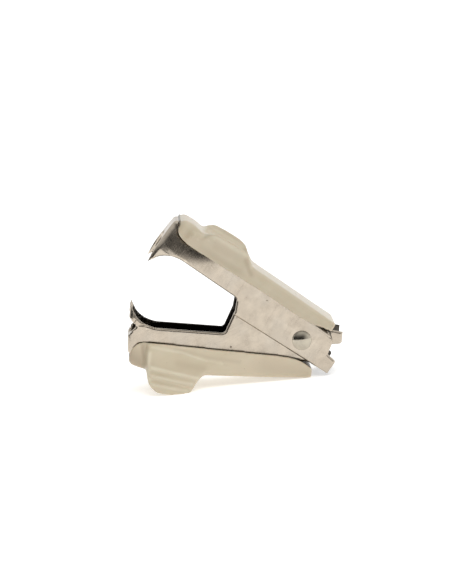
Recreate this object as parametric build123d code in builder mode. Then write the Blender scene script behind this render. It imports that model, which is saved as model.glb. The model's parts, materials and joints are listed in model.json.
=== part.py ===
"""Claw-type staple remover: two nested steel jaws, two moulded grips, one rivet and one torsion spring.

Frame: +Z up, the claws point to -X, the rivet's axis is parallel to Y. The remover stands on its lower
grip with its jaws sprung open, and z = 0 is the surface that it stands on.
Each jaw has its own side plane through the rivet's axis: u runs rearwards along the jaw and v runs
outwards, away from the other jaw. All sizes are in millimetres and all angles in degrees.
"""
from build123d import *
from math import acos, asin, atan2, cos, degrees, hypot, radians, sin
import os

# Stance
pivot_x = 17.43
pivot_height = 10.3
lower_slope = 10.4
opening = 30.2
upper_slope = lower_slope + opening

# Steel sheet and channels
sheet = 0.9
outer_bend = 1.3
upper_half_width = 6.85
lower_half_width = 5.8
front_u = -45.4
front_bulge = 0.45
web_front_v = 7.6
web_rear_v = 5.7
web_end_u = 1.6
block_rear_u = 12.0
block_open_v = -9.0

# Fangs: the throat arc ends in the tips, and the fangs lean towards each other below the lean line
throat_radius = 8.4
throat_u = -37.7
lean_start_v = -0.9
upper_lean = 0.085
lower_lean = 0.18
upper_mouth_v = -0.5
lower_mouth_v = -0.2
arch_depth = 3.3

# Walls behind the mouth, and the rear tabs
step_foot_u = -20.4
step_radius = 1.2
tab_end_u = 10.75
tab_round = 0.7
tab_foot_v = 0.4
tab_root_u = 7.9

# Corner notches of the lower jaw, where the upper fangs go when the jaws shut
notch_low_v = -2.3
notch_high_v = 2.4
notch_apex_u = -43.7
notch_apex_v = -0.4
notch_round = 0.5

# Rivet
shank_radius = 1.6
head_radius = 2.55
head_height = 1.15
head_rim = 0.35
tail_radius = 2.3
tail_height = 0.8
tail_bevel = 0.4
fixed_clearance = 0.02
running_clearance = 0.06

# Torsion spring
wire_radius = 0.45
coil_radius = 2.45
coil_span = 5.2
whole_turns = 4
leg_foot_u = -13.0
leg_gap = 0.15

# Grips
grip_gap = 0.05
upper_grip_half_width = 8.0
lower_grip_half_width = 7.2
grip_top_round = 1.6
ear_thickness = 1.5
flank_hollow = 0.5
ear_spare = 0.6
ear_round = 0.5
heel_pocket_u = 1.9
heel_pocket_v = 7.3
post_radius = 1.25
post_hole_radius = 1.3
post_u = (-36.0, -20.5)
post_reach = 1.0

pivot = Vector(pivot_x, 0, pivot_height)


def side_plane(slope, outward_up):
    """Plane of a jaw's side view: local X is u, local Y is v."""
    run = (cos(radians(slope)), 0, -sin(radians(slope)))
    return Plane(origin=pivot, x_dir=run, z_dir=(0, -1 if outward_up else 1, 0))


def cross_plane(side, u):
    """Plane across a jaw at u: local X is sideways, local Y is v, and its normal points rearwards."""
    return Plane(origin=side.from_local_coords((u, 0, 0)), x_dir=-side.z_dir, z_dir=side.x_dir)


def level_plane(side, v):
    """Plane along a jaw at v: local X is u, and its normal points outwards."""
    return Plane(origin=side.from_local_coords((0, v, 0)), x_dir=side.x_dir, z_dir=side.y_dir)


def web_v(u):
    """Height of the outer face of a jaw's web."""
    share = (u - front_u) / (block_rear_u - front_u)
    return web_front_v + (web_rear_v - web_front_v) * share


def channel_block(side, half_width, lean, inset):
    """Rounded block bounded by a channel's sheet: inset 0 is its outside, inset = sheet its inside."""
    reach = half_width - inset
    lean_end = lean * (lean_start_v - block_open_v)
    bulge_v = (web_front_v + block_open_v) / 2
    with BuildPart() as block:
        with BuildSketch(side):
            with BuildLine():
                nose = ThreePointArc(
                    (front_u + inset, block_open_v),
                    (front_u - front_bulge + inset, bulge_v),
                    (front_u + inset, web_front_v - inset),
                )
                Polyline(
                    nose @ 1,
                    (block_rear_u, web_rear_v - inset),
                    (block_rear_u, block_open_v),
                    nose @ 0,
                )
            make_face()
        extrude(amount=reach, both=True)
        for turn in (1, -1):
            with BuildSketch(cross_plane(side, front_u - 5)):
                Polygon(
                    (turn * reach, lean_start_v),
                    (turn * (reach - lean_end), block_open_v),
                    (turn * (reach + 1), block_open_v),
                    (turn * (reach + 1), lean_start_v),
                    align=None,
                )
            extrude(amount=20, mode=Mode.SUBTRACT)
        along = Axis(pivot, side.x_dir)
        outward = Axis(pivot, side.y_dir)
        nose_face = block.faces().sort_by(along)[0]
        web_face = block.faces().sort_by(outward)[-1]
        bends = nose_face.edges().filter_by(Axis.Y, reverse=True)
        bends += web_face.edges().sort_by(along)[:-1]
        fillet(bends, radius=outer_bend - inset)
    return block.part


def wall_outline(side, mouth_v, step_v, step_head_u, rear_edge_v):
    """Side outline of a jaw's walls: throat, mouth edge, step, wall edge, rear tab and rear end."""
    with BuildSketch(side) as outline:
        with BuildLine():
            throat_v = mouth_v - throat_radius
            throat = CenterArc((throat_u, throat_v), throat_radius, 90, 90)
            Polyline(
                throat @ 1,
                (front_u - 5, throat_v),
                (front_u - 5, web_front_v + 1),
                (block_rear_u + 1, web_front_v + 1),
                (5.3, web_rear_v + 0.1),
                (7.1, 4.3),
                (7.6, 2.0),
                (tab_root_u, tab_foot_v + 0.4),
                (tab_end_u, tab_foot_v),
                (tab_end_u, rear_edge_v),
                (step_head_u, step_v),
                (step_foot_u, mouth_v),
                throat @ 0,
            )
        make_face()
        step_foot = outline.vertices().sort_by_distance((step_foot_u, mouth_v, 0))[0]
        fillet(step_foot, radius=step_radius)
        tab_foot = outline.vertices().sort_by_distance((tab_end_u, tab_foot_v, 0))[0]
        fillet(tab_foot, radius=tab_round)
    return outline.sketch


def fang_arch(side, half_width_at_foot, half_width_at_tip, crown_v):
    """Arched gap in the front plate that leaves the two fangs standing."""
    with BuildSketch(cross_plane(side, front_u - 2)) as arch:
        with BuildLine():
            foot_v = lean_start_v
            crown = ThreePointArc((-half_width_at_foot, foot_v), (0, crown_v), (half_width_at_foot, foot_v))
            Polyline(
                crown @ 1,
                (half_width_at_tip, block_open_v),
                (-half_width_at_tip, block_open_v),
                crown @ 0,
            )
        make_face()
    return arch.sketch


upper_side = side_plane(upper_slope, True)
lower_side = side_plane(lower_slope, False)

# Upper jaw: the outer channel, drawn from one sheet
with BuildPart() as upper_jaw:
    add(channel_block(upper_side, upper_half_width, upper_lean, 0))
    add(channel_block(upper_side, upper_half_width, upper_lean, sheet), mode=Mode.SUBTRACT)
    extrude(
        wall_outline(upper_side, upper_mouth_v, -4.6, -18.5, -3.6),
        amount=upper_half_width + 1,
        both=True,
        mode=Mode.INTERSECT,
    )
    extrude(fang_arch(upper_side, 5.2, 6.6, 2.6), amount=arch_depth, mode=Mode.SUBTRACT)
    with BuildSketch(level_plane(upper_side, 2.0)):
        with Locations((web_end_u + 6, 0)):
            Rectangle(12, 2 * (upper_half_width - sheet))
    extrude(amount=10, mode=Mode.SUBTRACT)
    with BuildSketch(level_plane(upper_side, 2.0)):
        with Locations(*[(u, 0) for u in post_u]):
            Circle(post_hole_radius)
    extrude(amount=10, mode=Mode.SUBTRACT)
    with BuildSketch(upper_side):
        Circle(shank_radius + fixed_clearance)
    extrude(amount=upper_half_width + 1, both=True, mode=Mode.SUBTRACT)

# Lower jaw: the inner channel, with corner notches under its fangs
with BuildPart() as lower_jaw:
    add(channel_block(lower_side, lower_half_width, lower_lean, 0))
    add(channel_block(lower_side, lower_half_width, lower_lean, sheet), mode=Mode.SUBTRACT)
    extrude(
        wall_outline(lower_side, lower_mouth_v, -6.3, -18.2, -2.78),
        amount=lower_half_width + 1,
        both=True,
        mode=Mode.INTERSECT,
    )
    extrude(fang_arch(lower_side, 3.6, 4.4, 2.6), amount=arch_depth, mode=Mode.SUBTRACT)
    with BuildSketch(lower_side) as corner_notch:
        Polygon(
            (front_u - 2, notch_low_v - 1.0),
            (front_u - front_bulge, notch_low_v),
            (notch_apex_u, notch_apex_v),
            (front_u - front_bulge, notch_high_v),
            (front_u - 2, notch_high_v + 1.0),
            align=None,
        )
        apex = corner_notch.vertices().sort_by_distance((notch_apex_u, notch_apex_v, 0))[0]
        fillet(apex, radius=notch_round)
    extrude(amount=lower_half_width + 1, both=True, mode=Mode.SUBTRACT)
    with BuildSketch(level_plane(lower_side, 2.0)):
        with Locations((web_end_u + 6, 0)):
            Rectangle(12, 2 * (lower_half_width - sheet))
    extrude(amount=10, mode=Mode.SUBTRACT)
    with BuildSketch(level_plane(lower_side, 2.0)):
        with Locations(*[(u, 0) for u in post_u]):
            Circle(post_hole_radius)
    extrude(amount=10, mode=Mode.SUBTRACT)
    with BuildSketch(lower_side):
        Circle(shank_radius + running_clearance)
    extrude(amount=lower_half_width + 1, both=True, mode=Mode.SUBTRACT)


def grip_profile(side, foot, crown):
    """Side outline of a grip's cover: foot follows the edge on the steel, crown is its outer line."""
    with BuildSketch(side) as profile:
        with BuildLine():
            front_foot, front_run, rear_run, rear_foot = foot
            nose = TangentArc(front_run, front_foot, tangent=(-1, 0))
            heel = TangentArc(rear_run, rear_foot, tangent=(1, 0.05))
            Line(nose @ 0, heel @ 0)
            back = ThreePointArc(*crown)
            Line(nose @ 1, back @ 0)
            Line(heel @ 1, back @ 1)
        make_face()
    return profile.sketch


def finger_saddle(side, root, rim, spread, floor_v, corners):
    """Two flared ears with a hollow for the finger between them.

    root and rim are (front u, rear u, v), spread is the half width at the root and at the rim, and
    corners are the radii of the rim's front and rear corners.
    """
    root_front, root_rear, root_v = root
    rim_front, rim_rear, rim_v = rim
    root_y, rim_y = spread
    with BuildPart() as saddle:
        with BuildSketch(side) as ear_side:
            Polygon(
                (root_front, root_v),
                (rim_front, rim_v),
                (rim_rear, rim_v),
                (root_rear, root_v),
                align=None,
            )
            rim_corners = ear_side.vertices().sort_by(Axis.Y)[-2:].sort_by(Axis.X)
            for rim_corner, radius in zip(rim_corners, corners):
                fillet(rim_corner, radius=radius)
        extrude(amount=rim_y + 1, both=True)
        with BuildSketch(cross_plane(side, root_front - 1)):
            with BuildLine():
                top_v = rim_v + ear_spare
                middle = Vector((root_y + rim_y) / 2 - flank_hollow, (root_v + rim_v) / 2)
                flank = ThreePointArc((root_y, root_v - ear_spare), middle, (rim_y, top_v))
                hollow = ThreePointArc(
                    (rim_y - ear_thickness, top_v),
                    (0, floor_v),
                    (ear_thickness - rim_y, top_v),
                )
                far_flank = ThreePointArc(
                    (-rim_y, top_v),
                    (-middle.X, middle.Y),
                    (-root_y, root_v - ear_spare),
                )
                Line(flank @ 1, hollow @ 0)
                Line(hollow @ 1, far_flank @ 0)
                Line(far_flank @ 1, flank @ 0)
            make_face()
        extrude(amount=root_rear - root_front + 2, mode=Mode.INTERSECT)
        outward = Axis(pivot, side.y_dir)
        rims = saddle.edges().filter_by(lambda edge: edge.length > 4 and abs(edge.center().Y) > 1)
        fillet(rims.sort_by(outward)[-4:], radius=ear_round)
    return saddle.part


def snap_posts(side):
    """Two moulded posts that pass through the web's holes and hold a grip on its jaw."""
    with BuildPart() as posts:
        for u in post_u:
            foot_v = web_v(u) - sheet - post_reach
            with BuildSketch(level_plane(side, foot_v)):
                with Locations((u, 0)):
                    Circle(post_radius)
            extrude(amount=post_reach + sheet + 0.6)
    return posts.part


# Upper grip: a cover over the web, with two low ears beside the finger and a pocket in its heel
# that leaves room for the lower jaw's walls
with BuildPart() as upper_grip:
    extrude(
        grip_profile(
            upper_side,
            ((-44.6, 7.2), (-41.0, 3.9), (-3.0, 4.8), (4.8, 6.3)),
            ((-44.6, 9.0), (-25.0, 9.2), (5.1, 8.8)),
        ),
        amount=upper_grip_half_width,
        both=True,
    )
    back_face = upper_grip.faces().sort_by(Axis(pivot, upper_side.y_dir))[-1]
    fillet(back_face.edges().sort_by(Axis(pivot, upper_side.x_dir))[:-1], radius=grip_top_round)
    add(finger_saddle(upper_side, (-40.5, -18.5, 4.6), (-34.9, -23.9, 11.1), (7.9, 10.8), 8.4, (5.0, 2.4)))
    add(channel_block(upper_side, upper_half_width, upper_lean, -grip_gap), mode=Mode.SUBTRACT)
    with BuildSketch(level_plane(upper_side, web_rear_v)):
        with Locations((heel_pocket_u + 5, 0)):
            Rectangle(10, 2 * (upper_half_width + grip_gap))
    extrude(amount=heel_pocket_v - web_rear_v, mode=Mode.SUBTRACT)
    add(snap_posts(upper_side))

# Lower grip: deeper, with tall ears that the remover also stands on
with BuildPart() as lower_grip:
    extrude(
        grip_profile(
            lower_side,
            ((-45.1, 6.9), (-41.2, 3.7), (-3.5, 4.7), (3.3, 6.6)),
            ((-45.1, 10.1), (-25.0, 11.25), (3.4, 10.1)),
        ),
        amount=lower_grip_half_width,
        both=True,
    )
    back_face = lower_grip.faces().sort_by(Axis(pivot, lower_side.y_dir))[-1]
    fillet(back_face.edges().sort_by(Axis(pivot, lower_side.x_dir))[:-1], radius=grip_top_round)
    add(finger_saddle(lower_side, (-41.0, -22.0, 4.6), (-39.4, -27.6, 16.6), (7.1, 11.0), 10.4, (3.6, 2.4)))
    add(channel_block(lower_side, lower_half_width, lower_lean, -grip_gap), mode=Mode.SUBTRACT)
    add(snap_posts(lower_side))
    split(bisect_by=Plane.XY, keep=Keep.TOP)

# Rivet: a domed head on the near side, a plain shank, and a formed tail on the far side
with BuildPart() as pivot_rivet:
    seat = upper_half_width + fixed_clearance
    dome_height = head_height - head_rim
    dome_radius = (head_radius ** 2 + dome_height ** 2) / (2 * dome_height)
    dome_angle = degrees(asin(head_radius / dome_radius))
    with BuildSketch(Plane(origin=pivot, x_dir=(0, -1, 0), z_dir=(-1, 0, 0))):
        with BuildLine():
            dome = CenterArc((seat + head_height - dome_radius, 0), dome_radius, 0, dome_angle)
            Polyline(
                dome @ 0,
                (-seat - tail_height, 0),
                (-seat - tail_height, tail_radius - tail_bevel),
                (-seat - tail_bevel, tail_radius),
                (-seat, tail_radius),
                (-seat, shank_radius),
                (seat, shank_radius),
                (seat, head_radius),
                dome @ 1,
            )
        make_face()
    revolve(axis=Axis(pivot, (0, 1, 0)))

# Torsion spring: the coil goes round the rivet, and its legs bear on the insides of the two webs
leg_foot_v = web_v(leg_foot_u) - sheet - wire_radius - leg_gap
leg_reach = hypot(leg_foot_u, leg_foot_v)
leg_spread = degrees(atan2(leg_foot_v, -leg_foot_u)) + degrees(acos(coil_radius / leg_reach))
lower_turn = 180 - lower_slope + leg_spread
upper_turn = 180 - upper_slope - leg_spread
coil_turns = whole_turns + (upper_turn - lower_turn) % 360 / 360
coil_start = Plane(
    origin=pivot + Vector(0, coil_span / 2, 0),
    x_dir=(cos(radians(lower_turn)), 0, sin(radians(lower_turn))),
    z_dir=(0, -1, 0),
)
coil = coil_start * Helix(pitch=coil_span / coil_turns, height=coil_span, radius=coil_radius)
with BuildLine() as wire_line:
    add(coil)
    for end, away in ((coil @ 0, -(coil % 0)), (coil @ 1, coil % 1)):
        Line(end, end + away * leg_reach)
wire_path = wire_line.wire()
with BuildPart() as torsion_spring:
    with BuildSketch(Plane(origin=wire_path @ 0, z_dir=wire_path % 0)):
        Circle(wire_radius)
    sweep(path=wire_path)

nodes = {
    "upper_jaw": upper_jaw,
    "lower_jaw": lower_jaw,
    "upper_grip": upper_grip,
    "lower_grip": lower_grip,
    "pivot_rivet": pivot_rivet,
    "torsion_spring": torsion_spring,
}
os.makedirs("parts", exist_ok=True)
for name, piece in nodes.items():
    piece.part.label = name
    export_step(piece.part, f"parts/{name}.step")
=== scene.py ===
"""Staple remover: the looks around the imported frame.

Every jaw and grip is shaped in its own side frame (u, y, v), in millimetres from the rivet's axis:
u runs rearwards along the jaw, y across it, and v outwards, away from the other jaw.
"""
import json
import math

import bmesh
import bpy
import numpy as np
from mathutils import Matrix, Vector, geometry


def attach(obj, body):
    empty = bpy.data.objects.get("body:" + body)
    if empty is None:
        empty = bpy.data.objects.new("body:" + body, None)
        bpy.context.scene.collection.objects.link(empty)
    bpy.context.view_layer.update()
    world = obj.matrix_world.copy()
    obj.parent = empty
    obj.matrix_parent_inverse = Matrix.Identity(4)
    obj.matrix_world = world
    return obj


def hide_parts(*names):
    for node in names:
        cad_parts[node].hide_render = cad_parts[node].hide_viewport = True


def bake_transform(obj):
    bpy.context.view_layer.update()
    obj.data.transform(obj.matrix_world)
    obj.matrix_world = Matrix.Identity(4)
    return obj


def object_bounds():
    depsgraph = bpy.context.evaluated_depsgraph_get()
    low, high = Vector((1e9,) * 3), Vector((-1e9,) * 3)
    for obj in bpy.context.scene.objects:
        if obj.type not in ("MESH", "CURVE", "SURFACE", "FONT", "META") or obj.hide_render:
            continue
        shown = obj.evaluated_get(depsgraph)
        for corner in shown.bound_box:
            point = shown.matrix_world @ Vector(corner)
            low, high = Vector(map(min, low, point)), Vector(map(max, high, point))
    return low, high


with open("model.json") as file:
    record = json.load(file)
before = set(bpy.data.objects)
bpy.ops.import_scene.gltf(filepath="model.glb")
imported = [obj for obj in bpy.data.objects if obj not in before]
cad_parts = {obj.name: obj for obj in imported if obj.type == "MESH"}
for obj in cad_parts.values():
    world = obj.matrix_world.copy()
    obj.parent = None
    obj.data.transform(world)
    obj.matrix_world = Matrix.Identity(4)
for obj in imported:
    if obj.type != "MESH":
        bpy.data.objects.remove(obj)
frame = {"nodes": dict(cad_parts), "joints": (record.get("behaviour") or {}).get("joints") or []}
cad_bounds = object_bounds()

MM = 0.001
joint = frame["joints"][0]
pivot = Vector(joint["pos_m"])

# Stance of the two jaws, in degrees below the horizon towards the rear
LOWER_SLOPE = 10.4
UPPER_SLOPE = 40.6

# Steel channels, in millimetres
SHEET = 0.9
FRONT_U = -45.4
WEB_FRONT_V = 7.6
WEB_FALL = 1.9 / 57.4
LEAN_START_V = -0.9
LEAN_END_U = -30.4
OUTER_BEND = 1.3
BULGE = 0.45
BULGE_V = -0.7
BULGE_REACH = 8.3
WEB_END_U = 1.6
TIP_V = -5.5
UPPER_HALF_WIDTH = 6.85
LOWER_HALF_WIDTH = 5.8

# Edges sharper than this, in degrees, are shaded as edges
SHADING_ANGLE = 38


def smooth(t):
    """0 below 0, 1 above 1, and an even curve between."""
    t = np.clip(t, 0.0, 1.0)
    return t * t * (3 - 2 * t)


def through(points, x):
    """Smooth monotone curve through the given (x, value) points."""
    xs, ys = (np.array(c, float) for c in zip(*points))
    slopes = np.diff(ys) / np.diff(xs)
    tangents = np.empty_like(ys)
    tangents[0], tangents[-1] = slopes[0], slopes[-1]
    rising = slopes[:-1] * slopes[1:] > 0
    mean = np.where(rising, 2 * slopes[:-1] * slopes[1:] / np.where(rising, slopes[:-1] + slopes[1:], 1), 0)
    tangents[1:-1] = mean
    x = np.clip(np.asarray(x, float), xs[0], xs[-1])
    i = np.clip(np.searchsorted(xs, x) - 1, 0, len(xs) - 2)
    width = xs[i + 1] - xs[i]
    t = (x - xs[i]) / width
    return (
        ys[i] * (1 + 2 * t) * (1 - t) ** 2
        + tangents[i] * width * t * (1 - t) ** 2
        + ys[i + 1] * t * t * (3 - 2 * t)
        + tangents[i + 1] * width * t * t * (t - 1)
    )


def web_v(u):
    """Height of the outer face of a jaw's web."""
    return WEB_FRONT_V - WEB_FALL * (u - FRONT_U)


def side_frame(slope, outward):
    """Matrix from a side frame in millimetres to the CAD's frame in metres."""
    c, s = math.cos(math.radians(slope)), math.sin(math.radians(slope))
    run, across, out = Vector((c, 0, -s)), Vector((0, 1, 0)), Vector((s, 0, c)) * outward
    turn = Matrix((run, across, out)).transposed().to_4x4()
    return Matrix.Translation(pivot) @ turn @ Matrix.Scale(MM, 4)


UPPER = side_frame(UPPER_SLOPE, 1)
LOWER = side_frame(LOWER_SLOPE, -1)


def evaluated(mesh, *modifiers):
    """The mesh after these modifiers, each given as (type, settings)."""
    work = bpy.data.objects.new("work", mesh)
    bpy.context.collection.objects.link(work)
    for kind, settings in modifiers:
        modifier = work.modifiers.new(kind.lower(), kind)
        for key, value in settings.items():
            setattr(modifier, key, value)
    depsgraph = bpy.context.evaluated_depsgraph_get()
    result = bpy.data.meshes.new_from_object(work.evaluated_get(depsgraph))
    bpy.data.objects.remove(work)
    return result


def add_piece(name, mesh, place, body, node, materials):
    """Puts a finished mesh in the scene, on its body and in place of its CAD node."""
    mesh.transform(place)
    if place.determinant() < 0:
        mesh.flip_normals()
    mesh.shade_smooth()
    mesh.set_sharp_from_angle(angle=math.radians(SHADING_ANGLE))
    sides = [face.material_index for face in mesh.polygons]
    mesh.materials.clear()
    for material in materials:
        mesh.materials.append(material)
    mesh.polygons.foreach_set("material_index", [min(side, len(materials) - 1) for side in sides])
    piece = bpy.data.objects.new(name, mesh)
    bpy.context.collection.objects.link(piece)
    if body:
        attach(piece, body)
    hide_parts(node)
    return piece


# ---- Materials ----------------------------------------------------------------------------------


class Nodes:
    """Small helper for writing a material's node tree."""

    def __init__(self, name):
        self.material = bpy.data.materials.new(name)
        self.material.use_nodes = True
        self.tree = self.material.node_tree
        self.shader = self.tree.nodes["Principled BSDF"]

    def add(self, kind, inputs=(), **settings):
        node = self.tree.nodes.new(kind)
        for key, value in settings.items():
            setattr(node, key, value)
        for key, value in dict(inputs).items():
            self.put(node.inputs[key], value)
        return node

    def put(self, socket, value):
        if isinstance(value, bpy.types.NodeSocket):
            self.tree.links.new(value, socket)
        else:
            socket.default_value = value

    def set(self, **sockets):
        for key, value in sockets.items():
            self.put(self.shader.inputs[key.replace("_", " ")], value)

    def place(self, turn_y=0.0, stretch=(1, 1, 1)):
        """Object coordinates, turned about Y in degrees and stretched."""
        coordinates = self.add("ShaderNodeTexCoord")
        turned = self.add("ShaderNodeMapping", {"Vector": coordinates.outputs["Object"]})
        turned.inputs["Rotation"].default_value = (0, math.radians(turn_y), 0)
        scaled = self.add("ShaderNodeMapping", {"Vector": turned.outputs[0]})
        scaled.inputs["Scale"].default_value = stretch
        return scaled.outputs[0]

    def noise(self, vector, scale, detail=3.0, roughness=0.55):
        inputs = {"Vector": vector, "Scale": scale, "Detail": detail, "Roughness": roughness}
        return self.add("ShaderNodeTexNoise", inputs).outputs["Fac"]

    def ramp(self, value, low, high, to_low=0.0, to_high=1.0):
        """value mapped from low..high to to_low..to_high, and held at the ends."""
        node = self.add("ShaderNodeMapRange", {"Value": value, "From Min": low, "From Max": high})
        node.inputs["To Min"].default_value = to_low
        node.inputs["To Max"].default_value = to_high
        return node.outputs[0]

    def mix(self, share, a, b):
        node = self.add("ShaderNodeMix", data_type="RGBA")
        self.put(node.inputs["Factor"], share)
        self.put(node.inputs[6], a if isinstance(a, bpy.types.NodeSocket) else (*a, 1))
        self.put(node.inputs[7], b if isinstance(b, bpy.types.NodeSocket) else (*b, 1))
        return node.outputs[2]

    def math(self, operation, a, b=0.0):
        node = self.add("ShaderNodeMath", operation=operation)
        self.put(node.inputs[0], a)
        self.put(node.inputs[1], b)
        return node.outputs[0]

    def bump(self, height, distance, normal=None):
        node = self.add("ShaderNodeBump", {"Height": height, "Distance": distance, "Strength": 1.0})
        if normal is not None:
            self.put(node.inputs["Normal"], normal)
        return node.outputs[0]

    def worn_edges(self, low, high):
        """1 on convex edges and 0 on flat ground."""
        geometry = self.add("ShaderNodeNewGeometry")
        return self.ramp(geometry.outputs["Pointiness"], low, high)


def plated_steel(name, slope, inside=False):
    """Satin nickel plate: drawn along the jaw, a little mottled, with pits and rubbed edges. With inside
    set, the colours are near black: painted shade for the channel's inner faces.
    """
    n = Nodes(name)
    flat = n.place(slope)
    along = n.place(slope, (0.06, 1, 1))
    clouds = n.noise(flat, 420, 4)
    grain = n.noise(along, 5200, 2)
    scratches = n.noise(n.place(slope + 12, (0.03, 1, 1)), 3000, 3)
    pits = n.ramp(n.noise(flat, 1010, 1, 0.3), 0.225, 0.195)
    # Inside: near-black copies of the plate's colours, painted shade for the channel's inner faces.
    bright = (0.110, 0.098, 0.084) if inside else (0.512, 0.446, 0.363)
    dull = (0.050, 0.045, 0.038) if inside else (0.448, 0.388, 0.315)
    cool = (0.080, 0.075, 0.068) if inside else (0.484, 0.440, 0.378)
    color = n.mix(n.ramp(clouds, 0.35, 0.68), bright, dull)
    color = n.mix(n.ramp(n.noise(flat, 160, 2), 0.45, 0.72, 0.0, 0.6), color, cool)
    color = n.mix(n.ramp(grain, 0.3, 0.75, 0.0, 0.25), color, bright)
    color = n.mix(pits, color, (0.16, 0.13, 0.10))
    worn = n.worn_edges(0.53, 0.60)
    color = n.mix(n.math("MULTIPLY", worn, 0.0 if inside else 0.35), color, (0.74, 0.67, 0.57))
    rough = n.ramp(clouds, 0.3, 0.7, 0.17, 0.25)
    rough = n.math("ADD", rough, n.ramp(scratches, 0.5, 0.75, 0.0, 0.08))
    normal = n.bump(grain, 0.0000025)
    normal = n.bump(scratches, 0.000002, normal)
    normal = n.bump(n.noise(flat, 1400, 3), 0.000006, normal)
    n.set(Base_Color=color, Metallic=1.0, Roughness=rough, Normal=normal)
    return n.material


def moulded_plastic(name, turn, painted_light_scale=1.0):
    """Glossy beige moulding: faint flow marks, orange peel, handling marks in the gloss and softened edges,
    with painted shade, painted highlights and a painted shadow along the steel.
    """

    # The scale makes lit and shaded copies of one beige: painted light and shade for each grip.
    def tone(*color):
        return tuple(painted_light_scale * c for c in color)

    n = Nodes(name)
    flat = n.place(turn)
    flow = n.noise(n.place(turn, (0.35, 1, 1)), 260, 4)
    peel = n.noise(flat, 1500, 2)
    rubs_and_sheen = n.noise(n.place(turn + 25, (0.05, 1, 1)), 2200, 3)
    specks = n.ramp(n.noise(flat, 2600, 1, 0.2), 0.20, 0.165)
    color = n.mix(n.ramp(flow, 0.3, 0.7), tone(0.575, 0.495, 0.355), tone(0.625, 0.550, 0.410))
    color = n.mix(n.ramp(n.noise(flat, 120, 2), 0.4, 0.7, 0.0, 0.5), color, tone(0.610, 0.515, 0.385))
    color = n.mix(n.math("MULTIPLY", specks, 0.6), color, (0.30, 0.25, 0.17))
    color = n.mix(n.ramp(n.worn_edges(0.54, 0.62), 0, 1, 0.0, 0.15), color, (0.72, 0.66, 0.53))
    # Painted shade: darker beige in hollows, on the front block and towards the ends, from the mesh's
    # attribute.
    painted_shade = n.add("ShaderNodeAttribute", attribute_name="painted_shade").outputs["Fac"]
    painted_shade = n.math("MULTIPLY", painted_shade, n.ramp(flow, 0.2, 0.6, 0.75, 1.0))
    color = n.mix(painted_shade, color, tone(0.33, 0.25, 0.165))
    # Painted highlight: lighter beige along ridges and rims, from the mesh's attribute.
    painted_highlight = n.add("ShaderNodeAttribute", attribute_name="painted_highlight").outputs["Fac"]
    painted_highlight = n.math("MULTIPLY", painted_highlight, n.ramp(flow, 0.2, 0.6, 0.6, 1.0))
    color = n.mix(painted_highlight, color, tone(0.76, 0.70, 0.55))
    # Painted shadow: near-black colour in the groove between the plastic and the steel.
    gap_shade = n.add("ShaderNodeAttribute", attribute_name="gap_shade").outputs["Fac"]
    color = n.mix(gap_shade, color, (0.085, 0.070, 0.045))
    rough = n.ramp(flow, 0.3, 0.7, 0.27, 0.36)
    rough = n.math("ADD", rough, n.ramp(rubs_and_sheen, 0.55, 0.75, 0.0, 0.12))
    normal = n.bump(peel, 0.000010)
    normal = n.bump(rubs_and_sheen, 0.000003, normal)
    n.set(Base_Color=color, Roughness=rough, Normal=normal, IOR=1.49)
    n.set(Subsurface_Weight=0.06, Subsurface_Scale=0.0012, Coat_Weight=0.25, Coat_Roughness=0.18)
    return n.material


def polished_rivet(name):
    """Bright nickel on a cold-headed rivet, with fine turning rings and a few dull spots."""
    n = Nodes(name)
    flat = n.place()
    rings = n.noise(n.place(0, (1, 0.02, 1)), 2600, 2)
    spots = n.noise(flat, 700, 4)
    color = n.mix(n.ramp(spots, 0.35, 0.7), (0.49, 0.445, 0.36), (0.41, 0.37, 0.305))
    rough = n.ramp(spots, 0.3, 0.7, 0.10, 0.20)
    normal = n.bump(rings, 0.0000015)
    n.set(Base_Color=color, Metallic=1.0, Roughness=rough, Normal=normal)
    return n.material


def drawn_wire(name):
    """Oil-tempered spring wire with die lines and a mottled brown-grey skin."""
    n = Nodes(name)
    flat = n.place()
    skin = n.noise(flat, 900, 4)
    color = n.mix(n.ramp(skin, 0.3, 0.7), (0.33, 0.31, 0.28), (0.20, 0.18, 0.155))
    rough = n.ramp(skin, 0.3, 0.7, 0.28, 0.45)
    n.set(Base_Color=color, Metallic=1.0, Roughness=rough, Normal=n.bump(n.noise(flat, 4000, 2), 0.000004))
    return n.material


# ---- Jaws ---------------------------------------------------------------------------------------

# Edge roundings in millimetres: the outer rims, the inner rims, and the front plate's edges
OUTER_ROLL = 0.66
INNER_ROLL = 0.2
PLATE_ROLL = 0.3
TIP_TAPER = 3.2
ROLL_ANGLES = (75, 60, 45, 32, 20, 10, 0)
ROLL_SPACING = 0.3
HOLE_REACH = 2.2
FANG = 4.6
FLAT_ANGLE = 35
SEAM_STEPS = (1.0, 0.7, 0.5, 0.35, 0.22, 0.12, 0.05)

# The drawn front: where it starts, and the spacing of the edge loops that let it bend
DRAW_START_U = -28.0
LOOP_SPACING_U = 0.8
LOOP_SPACING_V = 0.55


def sheet_depth(point, half_width, lean):
    """How far a point lies below the outer surface of a jaw's channel."""
    u, y, v = point
    leaning = lean * max(0.0, LEAN_START_V - v) if u < LEAN_END_U else 0.0
    nose = FRONT_U - BULGE * (1 - ((v - BULGE_V) / BULGE_REACH) ** 2)
    side = half_width - leaning - abs(y)
    web = 9.0 if u > WEB_END_U and side > 0.8 * SHEET else web_v(u) - v
    short = [OUTER_BEND - gap for gap in (side, web, u - nose)]
    if max(short) <= 0:
        return OUTER_BEND - max(short)
    return OUTER_BEND - math.hypot(*(max(0.0, gap) for gap in short))


def roll_depth(distance, radius):
    """How far a surface drops at a distance from an edge that is rounded by radius."""
    inside = np.clip(radius - distance, 0, None)
    return radius - np.sqrt(np.clip(radius ** 2 - inside ** 2, 0, None))


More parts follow.
